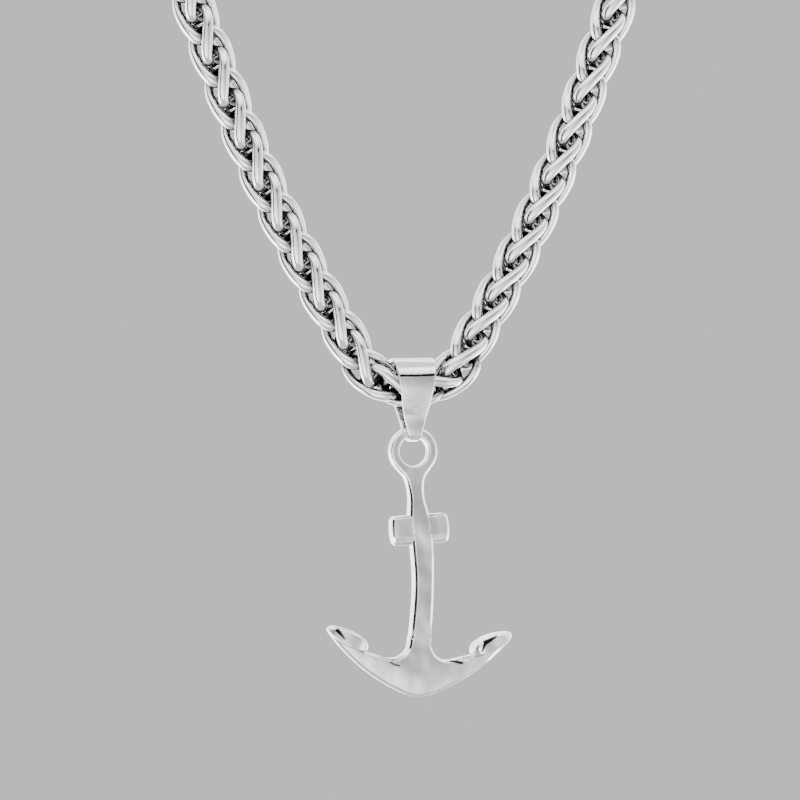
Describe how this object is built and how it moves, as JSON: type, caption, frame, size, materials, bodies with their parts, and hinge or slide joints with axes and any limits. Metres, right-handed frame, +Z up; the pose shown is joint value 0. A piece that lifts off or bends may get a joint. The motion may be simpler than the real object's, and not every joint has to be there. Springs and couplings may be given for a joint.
{
  "type": "anchor pendant necklace",
  "caption": "Wheat chain necklace with a plain closed clasp, a folded strap bail and a cast anchor pendant that swings.",
  "frame": {"origin": "middle of the fastening at the nape, where the chain hangs on the neck", "axes": "+X to the right seen from the front, +Z up, the pendant hangs in front at -Y"},
  "size_m": [0.1286, 0.0934, 0.1903],
  "materials": {
    "chain": "polished",
    "bail": "polished",
    "anchor": "polished",
    "fastening": "polished"
  },
  "bodies": {
    "necklace": {"chain_right": "chain", "chain_left": "chain", "jump_ring_right": "fastening", "jump_ring_left": "fastening", "end_ring": "fastening", "clasp": "fastening"},
    "bail": {"bail": "bail"},
    "anchor": {"anchor": "anchor"}
  },
  "joints": [
    {"name": "bail_swing", "type": "hinge", "parent": "necklace", "child": "bail", "pos_m": [0, -0.08633, -0.14333], "axis": [1, 0, 0], "range_deg": [-45, 45]},
    {"name": "anchor_swing", "type": "hinge", "parent": "bail", "child": "anchor", "pos_m": [0, -0.08633, -0.15263], "axis": [0, 1, 0], "range_deg": [-30, 30]}
  ]
}
